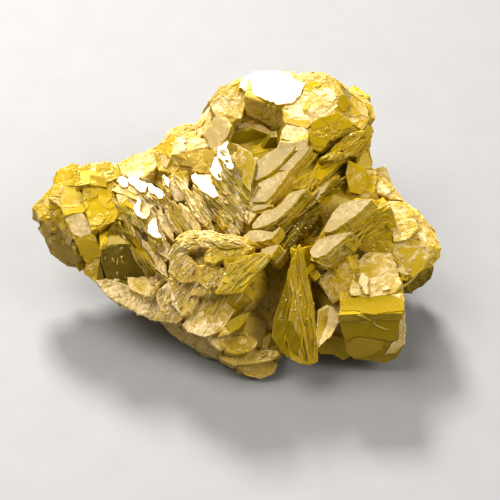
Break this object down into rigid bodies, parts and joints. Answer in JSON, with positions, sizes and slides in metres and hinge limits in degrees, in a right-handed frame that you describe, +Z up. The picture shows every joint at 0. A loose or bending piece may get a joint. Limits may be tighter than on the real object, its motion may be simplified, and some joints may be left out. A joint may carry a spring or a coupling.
{
  "type": "siderite cluster",
  "caption": "Hand specimen of siderite: blunt rhombs and curved, feathered blades grown together in one mass that lies on a flat broken foot.",
  "frame": {"origin": "middle of the bounding box in plan, on the table the cluster rests on", "axes": "+Z up; +X to the right along the cluster's long side; -Y towards a viewer who faces its show side, which leans back by 45 degrees"},
  "size_m": [0.0574, 0.0442, 0.0252],
  "materials": {
    "siderite": "satin"
  },
  "bodies": {
    "root": {"siderite_cluster": "siderite"}
  },
  "joints": []
}
